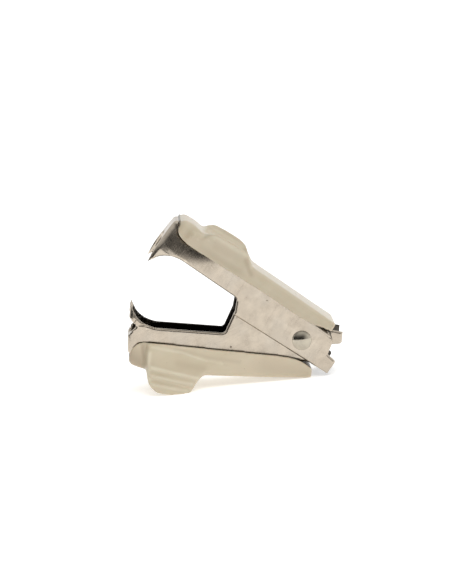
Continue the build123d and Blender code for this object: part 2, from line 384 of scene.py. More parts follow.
class Sheet:
    """A jaw's stamping while its edges are being rolled."""

    def __init__(self, mesh, half_width, lean, tip_v):
        self.half_width, self.lean, self.tip_v = half_width, lean, tip_v
        self.bm = bmesh.new()
        self.bm.from_mesh(mesh)
        bmesh.ops.remove_doubles(self.bm, verts=self.bm.verts, dist=0.003)
        bmesh.ops.dissolve_limit(
            self.bm, angle_limit=math.radians(0.6), verts=self.bm.verts, edges=self.bm.edges
        )
        self.rims = {edge: self.rim(edge) for edge in self.bm.edges if self.rim(edge)}

    def depth(self, vert):
        return sheet_depth(vert.co, self.half_width, self.lean)

    def rim(self, edge):
        """(True if outer, radius at each end) of a cut edge, or None."""
        if len(edge.link_faces) != 2 or edge.calc_face_angle(0.0) < math.radians(FLAT_ANGLE):
            return None
        if any(math.hypot(vert.co.x, vert.co.z) < HOLE_REACH for vert in edge.verts):
            return None
        depths = [self.depth(vert) for vert in edge.verts]
        outer = max(depths) < 0.4 * SHEET
        if not outer and min(depths) < 0.6 * SHEET:
            return None
        return outer, [self.radius(vert.co, outer) for vert in edge.verts]

    def radius(self, co, outer):
        size = OUTER_ROLL if outer else INNER_ROLL
        if co.x < FRONT_U + 1.2:
            size = min(size, PLATE_ROLL)
        if co.x < FRONT_U + 3.5:
            size *= min(1.0, 0.10 + max(0.0, co.z - self.tip_v) / TIP_TAPER)
        return size

    def split_seams(self):
        """Adds vertices where a flat joining edge or a crease runs into a rolled rim."""
        at_rim = {vert for edge in self.rims for vert in edge.verts}
        for edge in list(self.bm.edges):
            if edge in self.rims or edge.calc_face_angle(0.0) > math.radians(FLAT_ANGLE):
                continue
            for vert in list(edge.verts):
                if vert not in at_rim or edge.calc_length() < 2.2:
                    continue
                for spot in SEAM_STEPS:
                    bmesh.utils.edge_split(edge, vert, spot / edge.calc_length())
                    nearest = [e for e in vert.link_edges if e.calc_length() < spot + 0.001]
                    nearest = [e for e in nearest if e not in self.rims]
                    edge = min(nearest, key=lambda e: abs(e.calc_length() - spot), default=edge)
                break

    def offsets(self, face):
        """Points inside a face, set back from its rolled edges at the steps of the rounding."""
        points, steps = [], []
        for loop in face.loops:
            if loop.edge not in self.rims:
                continue
            start, end = loop.vert.co, loop.link_loop_next.vert.co
            inward = face.normal.cross(end - start).normalized()
            before = loop.link_loop_prev
            radius = max(self.rims[loop.edge][1])
            count = max(1, int((end - start).length / ROLL_SPACING))
            spots = [(start.lerp(end, (i + 0.5) / count), inward) for i in range(count)]
            if before.edge in self.rims:
                other = face.normal.cross(start - before.vert.co).normalized()
                if other.angle(inward) > 0.3:
                    spots += [(start, other.lerp(inward, t).normalized()) for t in (0.2, 0.5, 0.8)]
            for angle in ROLL_ANGLES:
                step = radius * (1 - math.sin(math.radians(angle)))
                points += [spot + toward * step for spot, toward in spots]
                steps += [step] * len(spots)
        return np.array([tuple(p) for p in points]), np.array(steps)

    def refill(self, face):
        """Triangulates a flat face again with vertices for its rounded edges."""
        points, steps = self.offsets(face)
        edges = list(face.edges)
        rims = [edge for edge in edges if edge in self.rims]
        others = [edge for edge in edges if edge not in self.rims]
        keep = distances(points, rims)[0] > steps - 0.01
        if others:
            keep &= distances(points, others)[0] > 0.03
        drop = 1 if abs(face.normal.y) > 0.7 else 0
        axes = [axis for axis in range(3) if axis != drop]
        points = points[keep]
        _, first = np.unique(np.round(points / 0.045), axis=0, return_index=True)
        points = points[np.sort(first)]
        verts = list(face.verts)
        flat = [Vector((vert.co[axes[0]], vert.co[axes[1]])) for vert in verts]
        flat += [Vector((p[axes[0]], p[axes[1]])) for p in points]
        ring = [list(range(len(verts)))]
        _, _, triangles, origins, _, _ = geometry.delaunay_2d_cdt(flat, [], ring, 1, 0.00001)
        made = {}
        for index, origin in enumerate(origins):
            source = min(origin) if origin else None
            if source is None:
                return
            made[index] = verts[source] if source < len(verts) else source
        normal = face.normal.copy()
        self.bm.faces.remove(face)
        for index, source in made.items():
            if isinstance(source, int):
                made[index] = self.bm.verts.new(points[source - len(verts)])
        for triangle in triangles:
            fresh = self.bm.faces.new([made[i] for i in triangle])
            fresh.normal_update()
            if fresh.normal.dot(normal) < 0:
                fresh.normal_flip()

    def roll_edges(self):
        self.split_seams()
        for face in list(self.bm.faces):
            wide = face.calc_area() > 2.0 and abs(face.normal.z) < 0.7
            if wide and any(edge in self.rims for edge in face.edges):
                depths = [self.depth(vert) for vert in face.verts]
                if max(depths) - min(depths) < 0.5 * SHEET:
                    self.refill(face)
        self.bm.normal_update()
        for outer in (True, False):
            self.sink(outer)

    def sink(self, outer):
        """Drops one skin of the sheet towards the other along its rims."""
        verts, ways = [], []
        for vert in self.bm.verts:
            depth = self.depth(vert)
            if (depth < 0.4 * SHEET) != outer or 0.4 * SHEET <= depth <= 0.6 * SHEET:
                continue
            way = Vector()
            for face in vert.link_faces:
                depths = [self.depth(corner) for corner in face.verts]
                if max(depths) - min(depths) < 0.5 * SHEET:
                    way -= face.normal * face.calc_area()
            if way.length:
                verts.append(vert)
                ways.append(way.normalized())
        rims = [edge for edge, (is_outer, _) in self.rims.items() if is_outer == outer]
        where = np.array([tuple(vert.co) for vert in verts])
        distance, radius = distances(where, rims, [self.rims[edge][1] for edge in rims])
        for vert, way, drop in zip(verts, ways, roll_depth(distance, radius)):
            vert.co += way * float(drop)


def distances(points, edges, radii=None):
    """Distance from each point to the nearest of the edges, and the radius there."""
    if not len(points):
        return np.zeros(0), np.zeros(0)
    start = np.array([tuple(edge.verts[0].co) for edge in edges])
    run = np.array([tuple(edge.verts[1].co) for edge in edges]) - start
    square = np.maximum((run ** 2).sum(1), 1e-12)
    radii = np.array(radii if radii is not None else [(0, 0)] * len(edges), float)
    nearest, radius = [], []
    for chunk in np.array_split(points, max(1, len(points) // 2000)):
        gap = chunk[:, None] - start
        t = np.clip((gap * run).sum(2) / square, 0, 1)
        away = np.linalg.norm(gap - t[..., None] * run, axis=2)
        best = away.argmin(1)
        rows = np.arange(len(chunk))
        nearest.append(away[rows, best])
        share = t[rows, best]
        radius.append(radii[best, 0] * (1 - share) + radii[best, 1] * share)
    return np.concatenate(nearest), np.concatenate(radius)


def jaw_sheet(node, place, half_width, lean, hollow, curl):
    """The jaw's stamping: the CAD sheet with rolled edges, and with its drawn front corners."""
    mesh = frame["nodes"][node].data.copy()
    mesh.transform(place.inverted())
    if place.determinant() < 0:
        mesh.flip_normals()
    sheet = Sheet(mesh, half_width, lean, TIP_V)
    sheet.roll_edges()
    bm = sheet.bm
    # Faces deep in the channel get the near-black copy of the plate, painted shade; at the claws' front
    # ends they keep the bright plate, as light reaches them there.
    for face in bm.faces:
        u, _, v = face.calc_center_median()
        depth = sheet_depth(face.calc_center_median(), half_width, lean)
        unshaded_front = u < -41.5 and (v < 0.5 if hollow > 1 else v > 1.2)
        face.material_index = 1 if depth > 0.7 * SHEET and not unshaded_front else 0
    for u in np.arange(FRONT_U + 0.15, DRAW_START_U, LOOP_SPACING_U):
        cut(bm, (u, 0, 0), (1, 0, 0))
    for v in np.arange(-5.2, WEB_FRONT_V, LOOP_SPACING_V):
        cut(bm, (0, 0, v), (0, 0, 1), lambda p: p.x < DRAW_START_U)
    for vert in bm.verts:
        draw = front_draw(vert.co, hollow)
        u, y, v = vert.co
        square_up(vert, half_width)
        if u < LEAN_END_U:
            below = max(0.0, LEAN_START_V - v)
            draw += lean * FANG * (below / FANG) ** curl - lean * below
            tip = float(smooth((-2.5 - v) / 3.0) * smooth((-42.5 - u) / 2.5))
            vert.co.z -= 0.3 * tip
        vert.co.y -= min(abs(y), draw * abs(y) / half_width) * (1 if y > 0 else -1)
    bm.to_mesh(mesh)
    bm.free()
    return mesh


def front_draw(co, hollow):
    """How far the front corners are drawn in, most of all under the web's front edge."""
    u, _, v = co
    rise = np.clip((v + 2.2) / 8.2, 0, 1)
    along = float(smooth((DRAW_START_U - u) / 14.0) * rise ** (1.8 + 0.12 * max(0.0, u + 42.0)))
    corner = float(np.clip((-41.0 - u) / 4.0, 0, 1) ** 2 * smooth((v + 1.5) / 4.0))
    draw = hollow * along
    draw += 0.17 * hollow * corner
    return draw


def square_up(vert, half_width):
    """Walls run flat to their top edge behind the web's end."""
    u, y, v = vert.co
    share = float(smooth((u + 3.0) / 3.5))
    bend_v = web_v(u) - OUTER_BEND
    if share == 0 or v <= bend_v or abs(y) < half_width - OUTER_BEND - 0.01:
        return
    depth = max(0.0, SHEET - max(0.0, half_width - abs(y))) if abs(y) > half_width - SHEET else 0.0
    if depth:
        rise = min(OUTER_BEND, v - bend_v)
        inner = OUTER_BEND - math.sqrt(max(0.0, OUTER_BEND ** 2 - rise ** 2))
        vert.co.y += math.copysign(share * inner * depth / SHEET, y)
        vert.co.y = math.copysign(min(abs(vert.co.y), half_width), y)


def cut(bm, point, normal, where=None):
    """Adds an edge loop where a plane crosses the mesh."""
    faces = [f for f in bm.faces if where is None or any(where(vert.co) for vert in f.verts)]
    geom = set(faces)
    for face in faces:
        geom.update(face.edges)
        geom.update(face.verts)
    bmesh.ops.bisect_plane(bm, geom=list(geom), plane_co=point, plane_no=normal, dist=0.0005)


# ---- Grips --------------------------------------------------------------------------------------

GRIP_VOXEL = 0.27
GRIP_SOFTENING = 5
GRIP_GAP = 0.13
GROOVE_DEPTH = 0.6
GROOVE_LIP = 0.45
WIDEST = max(abs(cad_bounds[0][1]), abs(cad_bounds[1][1])) / MM - 0.01
WEB_BEND = 1.35
POST_RADIUS = 1.25
POST_U = (-36.0, -20.5)
POST_REACH = 1.0
POST_SIDES = 48
POST_PROFILE = ((0.0, 0.4), (0.06, 0.16), (0.2, 0.04), (0.4, 0.0))


class Grip:
    """The measures of one grip, in its side frame.

    pocket, half_width: half the width inside and outside. front, rear: its ends.
    nose, heel, shoulder, rim_round: roundings of its ends, of its back and of an ear's rim.
    foot: its edge along the steel. crown: its back. rim: the line of an ear's rim.
    flare: how far an ear stands out past half_width, in full at flare_top. root: where the flare starts.
    inset: how far its side is set in at the front. hollow: the depth of the saddle between the ears.
    heel_pocket: where the pocket's roof steps up at the rear, and how high.
    ribs: height and size of each finger rib. ledge: the step along an ear's root.
    stains: lines (u, v, u, v, width, strength) of painted shade, in hollows, on the front and towards the
    ends. rubs: such lines of painted highlight along ridges, rims and tops. floor: the height of the desk,
    or None.
    """

    def __init__(self, **measures):
        self.__dict__.update(measures)


def desk_v(u):
    """Height of the desk in the lower jaw's side frame."""
    slope = math.radians(LOWER_SLOPE)
    return (pivot.z / MM - u * math.sin(slope)) / math.cos(slope)


upper_grip = Grip(
    pocket=UPPER_HALF_WIDTH + GRIP_GAP,
    half_width=7.95,
    front=-44.6,
    rear=4.95,
    nose=1.9,
    heel=0.45,
    shoulder=2.3,
    foot=((-44.6, 7.3), (-44.2, 6.4), (-43.1, 5.1), (-41.4, 4.3), (-39.0, 4.0), (-14, 4.75), (-4, 4.85),
          (0, 5.25), (3, 6.1), (4.95, 6.35)),
    crown=((-44.6, 8.6), (-43.0, 9.0), (-41.0, 9.15), (-38.0, 8.8), (-34, 8.5), (-24, 8.45), (-20, 8.7),
           (-10, 8.75), (4.95, 8.7)),
    rim=((-37.9, 8.7), (-37.3, 8.9), (-36.2, 9.8), (-34.6, 10.75), (-31.7, 11.1), (-27.5, 11.3),
         (-25.2, 11.0), (-23.2, 9.7), (-21.6, 8.8), (-20.5, 8.6)),
    flare=((-41.2, 0.0), (-39.4, 0.9), (-37.0, 1.9), (-33, 2.5), (-27, 2.5), (-22, 1.5), (-14, 0.0)),
    flare_top=11.2,
    root=((-41, 4.6), (-33, 5.2), (-24, 6.4), (-14, 7.4)),
    inset=((-44.6, 0.35), (-41.6, 0.25), (-39.8, 0.0)),
    hollow=0.15,
    rim_round=0.85,
    heel_pocket=(1.9, 7.3),
    ribs=(),
    ledge=0.12,
    # Lines of painted shade at the foot and the back of the ear.
    shade_lines=(
        (-36.0, 5.3, -24.0, 5.9, 1.0, 0.22),
        (-24.5, 9.2, -21.2, 6.9, 0.7, 0.42),
        (-33.0, 7.8, -27.0, 8.3, 1.3, 0.12),
    ),
    # Lines of painted highlight along the ear's rim and the top.
    rubs_and_sheen=(
        (-36.5, 9.9, -25.5, 10.4, 0.6, 0.5),
        (-20.3, 8.3, 3.0, 8.1, 0.8, 0.3),
        (-39.6, 7.7, -37.5, 8.2, 0.8, 0.4),
    ),
    floor=None,
)
lower_grip = Grip(
    pocket=LOWER_HALF_WIDTH + GRIP_GAP,
    half_width=7.2,
    front=-45.1,
    rear=3.35,
    nose=0.8,
    heel=0.5,
    shoulder=1.3,
    foot=((-45.1, 6.9), (-44.7, 6.1), (-43.9, 4.9), (-42.6, 3.95), (-41.0, 3.65), (-22, 4.15), (-5.5, 4.6),
          (-3, 4.8), (-0.5, 5.35), (1.5, 6.25), (3.35, 7.45)),
    crown=((-45.1, 9.75), (-43, 10.5), (-40, 11.1), (-33, 11.0), (-24, 11.2), (-10, 10.85), (3.35, 10.0)),
    rim=((-40.35, 10.9), (-40.2, 11.6), (-40.0, 12.6), (-39.4, 14.2), (-38.4, 15.4), (-36.6, 16.4),
         (-34, 16.55), (-29.8, 16.3), (-28.2, 15.5), (-27.3, 14.0), (-26.3, 12.4), (-25.2, 11.4),
         (-23.8, 11.0)),
    flare=((-41.1, 0.0), (-40.7, 0.5), (-40.2, 2.0), (-39.7, 2.75), (-38.5, 3.0), (-30, 3.05), (-26, 2.45),
           (-20, 1.0), (-12, 0.0)),
    flare_top=16.4,
    root=((-41, 3.8), (-39, 4.2), (-31, 5.2), (-24, 7.0), (-12, 8.6)),
    inset=((-45.1, 0.95), (-43.6, 0.55), (-42.3, 0.45), (-41.4, 0.66), (-40.9, 0.6), (-40.2, 0.0)),
    hollow=0.5,
    rim_round=0.75,
    heel_pocket=None,
    ribs=((9.95, 0.34), (12.2, 0.34), (14.3, 0.26)),
    ledge=0.6,
    # Lines of painted shade: the front block, the hollow before the ear, the band below the ear and the
    # rear end.
    shade_lines=(
        (-44.6, 7.6, -42.8, 9.0, 2.6, 0.62),
        (-41.7, 4.6, -41.1, 10.6, 0.65, 0.62),
        (-33.0, 4.9, -24.5, 6.3, 0.6, 0.22),
        (-24.5, 6.3, -16.0, 7.0, 0.6, 0.22),
        (-32.0, 8.4, -25.5, 9.3, 1.1, 0.2),
        (-9.0, 7.6, 3.0, 9.0, 2.2, 0.22),
    ),
    # Lines of painted highlight along the ledge, the ear's leading edge and the ribs.
    rubs_and_sheen=(
        (-39.3, 4.6, -31.1, 5.5, 0.4, 0.6),
        (-31.1, 5.5, -24.4, 7.3, 0.4, 0.6),
        (-24.4, 7.3, -20.5, 7.8, 0.4, 0.5),
        (-39.7, 6.2, -39.8, 12.2, 0.5, 0.7),
        (-39.8, 12.2, -38.8, 14.6, 0.5, 0.6),
        (-39.0, 9.9, -26.8, 11.8, 0.4, 0.7),
        (-38.6, 12.1, -28.0, 13.4, 0.4, 0.6),
        (-38.2, 14.3, -29.5, 15.1, 0.45, 0.6),
    ),
    floor=desk_v,
)


def side_y(grip, u, v):
    """Half width of the grip's outer side at (u, v): cover, then the ear's flare above its root."""
    root = through(grip.root, u)
    rise = np.clip((v - root) / (grip.flare_top - root), 0, 1.1)
    flare = through(grip.flare, u) * (0.25 * rise + 0.75 * rise ** 1.7)
    lip = 0.10 * (1 - smooth((v - through(grip.foot, u) - 0.5) / 0.6))
    draft = 0.02 * (v - through(grip.foot, u))
    return grip.half_width - through(grip.inset, u) + flare + lip - draft


def end_inset(distance, radius):
    """How far an end that is rounded by radius pulls in at a distance from its tip."""
    if distance >= radius:
        return 0.0
    return radius - math.sqrt(max(0.0, radius ** 2 - (radius - distance) ** 2))


def grip_section(grip, u):
    """Half of the moulding's section at u, from the pocket's middle round to the back's middle."""
    pull = max(end_inset(u - grip.front, grip.nose), end_inset(grip.rear - u, grip.heel))
    foot = float(through(grip.foot, u)) + 0.3 * pull
    crown = float(through(grip.crown, u)) - pull
    in_ear = grip.rim[0][0] < u < grip.rim[-1][0]
    rim = max(crown, float(through(grip.rim, u))) if in_ear else crown
    if grip.floor:
        rim = min(rim, grip.floor(u))
        crown = min(crown, grip.floor(u))
    ear = float(smooth((rim - crown) / 1.6))
    pocket_v = web_v(u) + 0.4 * GRIP_GAP
    if grip.heel_pocket and u > grip.heel_pocket[0]:
        pocket_v = grip.heel_pocket[1]
    bend_v = pocket_v - WEB_BEND
    inner = [(0.0, pocket_v), (grip.pocket - WEB_BEND, pocket_v)]
    for turn in np.linspace(15, 90, 6):
        a = math.radians(turn)
        inner.append((grip.pocket - WEB_BEND + WEB_BEND * math.sin(a), bend_v + WEB_BEND * math.cos(a)))
    inner.append((grip.pocket, foot + GROOVE_DEPTH))
    inner.append((grip.half_width - float(through(grip.inset, u)) - GROOVE_LIP, foot))
    inner = [(min(y, grip.half_width - 0.3 - pull), max(v, foot)) for y, v in inner]
    radius = grip.shoulder + (grip.rim_round - grip.shoulder) * ear
    radius = min(radius, (rim - foot) * 0.45)
    side = [(float(side_y(grip, u, v)) - pull, v) for v in np.linspace(foot, rim - radius, 26)]
    (y0, v0), (y1, v1) = side[-2:]
    lean = math.atan2(y1 - y0, v1 - v0)
    shoulder = []
    centre = (y1 - radius * math.cos(lean), v1 + radius * math.sin(lean))
    for turn in np.linspace(0, 90, 9)[1:]:
        a = math.radians(turn) - lean * (1 - turn / 90)
        shoulder.append((centre[0] + radius * math.cos(a), min(rim, centre[1] + radius * math.sin(a))))
    top_y, top_v = shoulder[-1]
    low = crown - grip.hollow * ear
    p1 = (top_y * (2 / 3 + 0.24 * ear), top_v + (low + 0.06 * (rim - low) - top_v) * ear)
    p2 = (top_y * (1 / 3 + 0.08 * ear), low)
    back = []
    for t in np.linspace(0, 1, 15)[1:]:
        a, b, c, d = (1 - t) ** 3, 3 * t * (1 - t) ** 2, 3 * t * t * (1 - t), t ** 3
        back.append((a * top_y + b * p1[0] + c * p2[0], a * top_v + b * p1[1] + c * p2[1] + d * low))
    return inner + side + shoulder + back


def grip_stations(grip):
    """Where the sections stand: close together at the ends and where the ears rise and fall."""
    spots = list(np.linspace(grip.front, grip.rear, 110))
    for edge, reach in ((grip.front, grip.nose), (grip.rear, -grip.heel)):
        spots += [edge + reach * t * t for t in np.linspace(0, 1, 9)]
    spots += list(np.linspace(grip.rim[0][0] - 1.6, grip.rim[0][0] + 2.4, 45))
    spots += list(np.linspace(grip.rim[-1][0] - 6, grip.rim[-1][0] + 1, 24))
    return sorted(set(round(float(u), 4) for u in spots))


def grip_moulding(grip):
    """Lofts the sections, evens and softens the skin, and adds the ribs, the posts and the marks: a painted
    shadow in the groove along the steel, painted shade and painted highlights.
    """
    stations = grip_stations(grip)
    half = [grip_section(grip, u) for u in stations]
    rings = [row + [(-y, v) for y, v in row[-2:0:-1]] for row in half]
    count = len(rings[0])
    verts = [(u, y, v) for u, ring in zip(stations, rings) for y, v in ring]
    faces = []
    for i in range(len(stations) - 1):
        for j in range(count):
            k = (j + 1) % count
            faces.append((i * count + j, i * count + k, (i + 1) * count + k, (i + 1) * count + j))
    faces.append(tuple(range(count))[::-1])
    faces.append(tuple((len(stations) - 1) * count + j for j in range(count)))
    mesh = bpy.data.meshes.new("loft")
    mesh.from_pydata(verts, [], faces)
    skin = evaluated(mesh, ("REMESH", {"mode": "VOXEL", "voxel_size": GRIP_VOXEL, "adaptivity": 0.0}))
    co = np.empty(len(skin.vertices) * 3)
    skin.vertices.foreach_get("co", co)
    co = co.reshape(-1, 3)
    co = softened(skin, co, GRIP_SOFTENING)
    co = ribbed(grip, co)
    co[:, 1] = np.clip(co[:, 1], -WIDEST, WIDEST)
    if grip.floor:
        limit = np.array([grip.floor(u) for u in co[:, 0]])
        co[:, 2] = np.minimum(co[:, 2], limit - 0.003)
    skin.vertices.foreach_set("co", co.ravel())
    skin.update()
    u, y, v = co.T
    foot = through(grip.foot, u)
    lip = grip.half_width - through(grip.inset, u) - 0.5 * GROOVE_LIP
    # Painted shadow in the groove along the plastic's foot, next to the steel.
    gap_shade = smooth((lip - np.abs(y)) / 0.25) * smooth((foot + 1.6 - v) / 0.6)
    # Painted shade along the given lines.
    painted_shade = marks(grip.shade_lines, u, v)
    # Painted highlights along the given lines, on the outer faces only.
    painted_highlight = marks(grip.rubs_and_sheen, u, v) * (np.abs(y) > grip.pocket + 0.8)
    for name, values in (("gap_shade", gap_shade), ("painted_shade", painted_shade), ("painted_highlight", painted_highlight)):
        skin.attributes.new(name, "FLOAT", "POINT").data.foreach_set("value", values.astype(np.float32))
    add_snap_posts(skin)
    return skin


def add_snap_posts(mesh):
    """The moulded posts that pass through the web's holes and hold the grip on its jaw."""
    bm = bmesh.new()
    bm.from_mesh(mesh)
    for post_u in POST_U:
        foot = web_v(post_u) - SHEET - POST_REACH
        rings = []
        profile = [(0.0, web_v(post_u) + 0.5)] + [(inset, foot + rise) for inset, rise in POST_PROFILE]
        for inset, v in profile:
            ring = []
            for k in range(POST_SIDES):
                a = 2 * math.pi * k / POST_SIDES
                radius = POST_RADIUS - inset
                ring.append(bm.verts.new((post_u + radius * math.cos(a), radius * math.sin(a), v)))
            rings.append(ring)
        faces = [bm.faces.new(rings[0]), bm.faces.new(rings[-1])]
        for ring, after in zip(rings, rings[1:]):
            for k in range(POST_SIDES):
                m = (k + 1) % POST_SIDES
                faces.append(bm.faces.new((ring[k], ring[m], after[m], after[k])))
        bmesh.ops.recalc_face_normals(bm, faces=faces)
    bm.to_mesh(mesh)
    bm.free()


def marks(lines, u, v):
    """Soft marks on a grip, each along a line (u, v, u, v) with a width and a strength."""
    total = np.zeros_like(u)
    for u0, v0, u1, v1, width, strength in lines:
        run = np.array([u1 - u0, v1 - v0])
        t = np.clip(((u - u0) * run[0] + (v - v0) * run[1]) / (run ** 2).sum(), 0, 1)
        away = np.hypot(u - u0 - t * run[0], v - v0 - t * run[1])
        total = np.maximum(total, strength * np.exp(-((away / width) ** 2)))
    return total


def softened(mesh, co, rounds):
    """Relaxes the skin, with a counter-step after each round so that it doesn't shrink."""
    ends = np.empty(len(mesh.edges) * 2, int)
    mesh.edges.foreach_get("vertices", ends)
    a, b = ends.reshape(-1, 2).T
    valence = np.bincount(ends, minlength=len(co))[:, None]
    for _ in range(rounds):
        for step in (0.62, -0.42):
            total = np.zeros_like(co)
            np.add.at(total, a, co[b])
            np.add.at(total, b, co[a])
            co = co + step * (total / valence - co)
    return co


def ribbed(grip, co):
    """The ledge along the root of each ear, and low ribs along its outer face."""
    u, y, v = co.T
    start = grip.flare[0][0]
    wing = smooth((u - start) / 0.9) * smooth((-13.0 - u) / 24.0) * (np.abs(y) > grip.half_width - 0.9)
    co[:, 1] = y + np.sign(y) * grip.ledge * wing * smooth((v - through(grip.root, u)) / 0.8)
    u, y, v = co.T
    for height, size in grip.ribs:
        line = height + 0.17 * (u + 39.5)
        along = smooth((u + 40.4) / 1.2) * smooth((-25.8 - u) / 3.0)
        outside = smooth((np.abs(y) - side_floor(grip, v)) / 0.4)
        bulge = size * np.exp(-(((v - line) / 0.42) ** 2)) * along * outside
        co[:, 1] = co[:, 1] + np.sign(y) * bulge
    return co


def side_floor(grip, v):
    """A half width that tells an ear's outer face from its inner one."""
    rise = np.clip((v - 4) / (grip.flare_top - 4), 0, 1.1)
    return grip.half_width - 0.9 + 2.6 * (0.25 * rise + 0.75 * rise ** 1.7)


# ---- Rivet and spring ---------------------------------------------------------------------------

HEAD = 2.55
HEAD_HEIGHT = 1.15
HEAD_RIM = 0.30
SHANK = 1.6
TAIL = 2.3
TAIL_HEIGHT = 0.8
SEAT = UPPER_HALF_WIDTH + 0.02
WIRE = 0.45
COIL = 2.45
COIL_SPAN = 5.2
WHOLE_TURNS = 4
LEG_FOOT_U = -13.0


def rivet():
    """Lathed rivet: domed head at -Y, shank, and a set tail with a shallow dimple at +Y."""
    dome = HEAD_HEIGHT - HEAD_RIM
    radius = (HEAD ** 2 + dome ** 2) / (2 * dome)
    sweep = math.asin(HEAD / radius)
    profile = [(0.0, -SEAT - HEAD_HEIGHT)]
    for t in np.linspace(0, 1, 26)[1:-2]:
        a = sweep * t
        profile.append((radius * math.sin(a), -SEAT - HEAD_HEIGHT + radius * (1 - math.cos(a))))
    for turn in np.linspace(35, 90, 6):
        a = math.radians(turn)
        profile.append((HEAD - 0.22 * (1 - math.sin(a)), -SEAT - HEAD_RIM + 0.05 - 0.22 * math.cos(a)))
    profile += [(HEAD, -SEAT - 0.05), (HEAD - 0.05, -SEAT), (SHANK, -SEAT), (SHANK, SEAT)]
    profile += [(TAIL - 0.06, SEAT), (TAIL, SEAT + 0.06)]
    for turn in np.linspace(0, 80, 8):
        a = math.radians(turn)
        profile.append((TAIL - 0.45 + 0.45 * math.cos(a), SEAT + TAIL_HEIGHT - 0.45 + 0.45 * math.sin(a)))
    for r, drop in ((1.3, 0.0), (1.05, 0.06), (0.8, 0.2), (0.4, 0.28), (0.0, 0.3)):
        profile.append((r, SEAT + TAIL_HEIGHT - drop))
    bm = bmesh.new()
    verts = [bm.verts.new((r, y, 0)) for r, y in profile]
    edges = [bm.edges.new(pair) for pair in zip(verts, verts[1:])]
    bmesh.ops.spin(bm, geom=verts + edges, cent=(0, 0, 0), axis=(0, 1, 0), angle=2 * math.pi, steps=96)
    bmesh.ops.remove_doubles(bm, verts=bm.verts, dist=0.0005)
    bmesh.ops.recalc_face_normals(bm, faces=bm.faces)
    mesh = bpy.data.meshes.new("rivet")
    bm.to_mesh(mesh)
    bm.free()
    return mesh


def spring_path():
    """Centre line of the torsion spring: a leg, the coil round the rivet, and the other leg."""
    foot_v = web_v(LEG_FOOT_U) - SHEET - WIRE - 0.15
    reach = math.hypot(LEG_FOOT_U, foot_v)
    spread = math.degrees(math.atan2(foot_v, -LEG_FOOT_U)) + math.degrees(math.acos(COIL / reach))
    start = 180 - LOWER_SLOPE + spread
    end = 180 - UPPER_SLOPE - spread
    turns = WHOLE_TURNS + (end - start) % 360 / 360
    steps = int(turns * 36)
    coil = []
    for i in range(steps + 1):
        a = math.radians(start + 360 * turns * i / steps)
        y = COIL_SPAN * (0.5 - i / steps)
        coil.append(Vector((COIL * math.cos(a), y, COIL * math.sin(a))))
    first = (coil[0] - coil[1]).normalized()
    last = (coil[-1] - coil[-2]).normalized()
    legs = np.linspace(0, reach - 0.3, 14)[1:]
    return [coil[0] + first * d for d in legs[::-1]] + coil + [coil[-1] + last * d for d in legs]


def tube(path, radius, sides=14, closing=4):
    """Mesh tube along a path, with rounded ends."""
    bm = bmesh.new()
    rings = []
    side = None
    for i, point in enumerate(path):
        ahead = (path[min(i + 1, len(path) - 1)] - path[max(i - 1, 0)]).normalized()
        side = ahead.orthogonal() if side is None else side - ahead * side.dot(ahead)
        side.normalize()
        other = ahead.cross(side)
        stations = [(point, radius)]
        if i in (0, len(path) - 1):
            out = -ahead if i == 0 else ahead
            turns = [math.radians(90 * k / closing) for k in range(1, closing)]
            ends = [(point + out * radius * math.sin(a) * 0.6, radius * math.cos(a)) for a in turns]
            stations = ends[::-1] + stations if i == 0 else stations + ends
        for centre, r in stations:
            ring = []
            for k in range(sides):
                a = 2 * math.pi * k / sides
                ring.append(bm.verts.new(centre + (side * math.cos(a) + other * math.sin(a)) * r))
            rings.append(ring)
    for ring, after in zip(rings, rings[1:]):
        for k in range(sides):
            m = (k + 1) % sides
            bm.faces.new((ring[k], ring[m], after[m], after[k]))
    bm.faces.new(rings[0][::-1])
    bm.faces.new(rings[-1])
    bmesh.ops.recalc_face_normals(bm, faces=bm.faces)
    mesh = bpy.data.meshes.new("tube")
    bm.to_mesh(mesh)
    bm.free()
    return mesh


# ---- The pieces ---------------------------------------------------------------------------------

at_pivot = Matrix.Translation(pivot) @ Matrix.Scale(MM, 4)

upper_sheet = add_piece(
    "upper_jaw_sheet",
    jaw_sheet("upper_jaw", UPPER, UPPER_HALF_WIDTH, lean=0.085, hollow=1.5, curl=1.6),
    UPPER,
    "upper_side",
    "upper_jaw",
    [plated_steel("upper_plate", UPPER_SLOPE), plated_steel("upper_plate_painted_shade", UPPER_SLOPE, True)],
)
lower_sheet = add_piece(
    "lower_jaw_sheet",
    jaw_sheet("lower_jaw", LOWER, LOWER_HALF_WIDTH, lean=0.18, hollow=0.15, curl=3.5),
    LOWER,
    "lower_side",
    "lower_jaw",
    [plated_steel("lower_plate", LOWER_SLOPE), plated_steel("lower_plate_painted_shade", LOWER_SLOPE, True)],
)
for sheet_piece in (upper_sheet, lower_sheet):
    shading = sheet_piece.modifiers.new("even_shading", "WEIGHTED_NORMAL")
    shading.mode = "FACE_AREA"
    shading.weight = 50
    shading.keep_sharp = True

# The upper grip's beige is scaled darker than the lower's: painted shade.
add_piece(
    "upper_grip_moulding",
    grip_moulding(upper_grip),
    UPPER,
    "upper_side",
    "upper_grip",
    [moulded_plastic("upper_beige", UPPER_SLOPE, 0.83)],
)
add_piece(
    "lower_grip_moulding",
    grip_moulding(lower_grip),
    LOWER,
    "lower_side",
    "lower_grip",
    [moulded_plastic("lower_beige", LOWER_SLOPE, 0.97)],
)
add_piece(
    "rivet_turned",
    rivet(),
    at_pivot,
    "upper_side",
    "pivot_rivet",
    [polished_rivet("rivet")],
)
spring = add_piece(
    "spring_wire",
    tube(spring_path(), WIRE),
    at_pivot,
    None,
    "torsion_spring",
    [drawn_wire("wire")],
)
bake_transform(spring)

# ---- Studio -------------------------------------------------------------------------------------

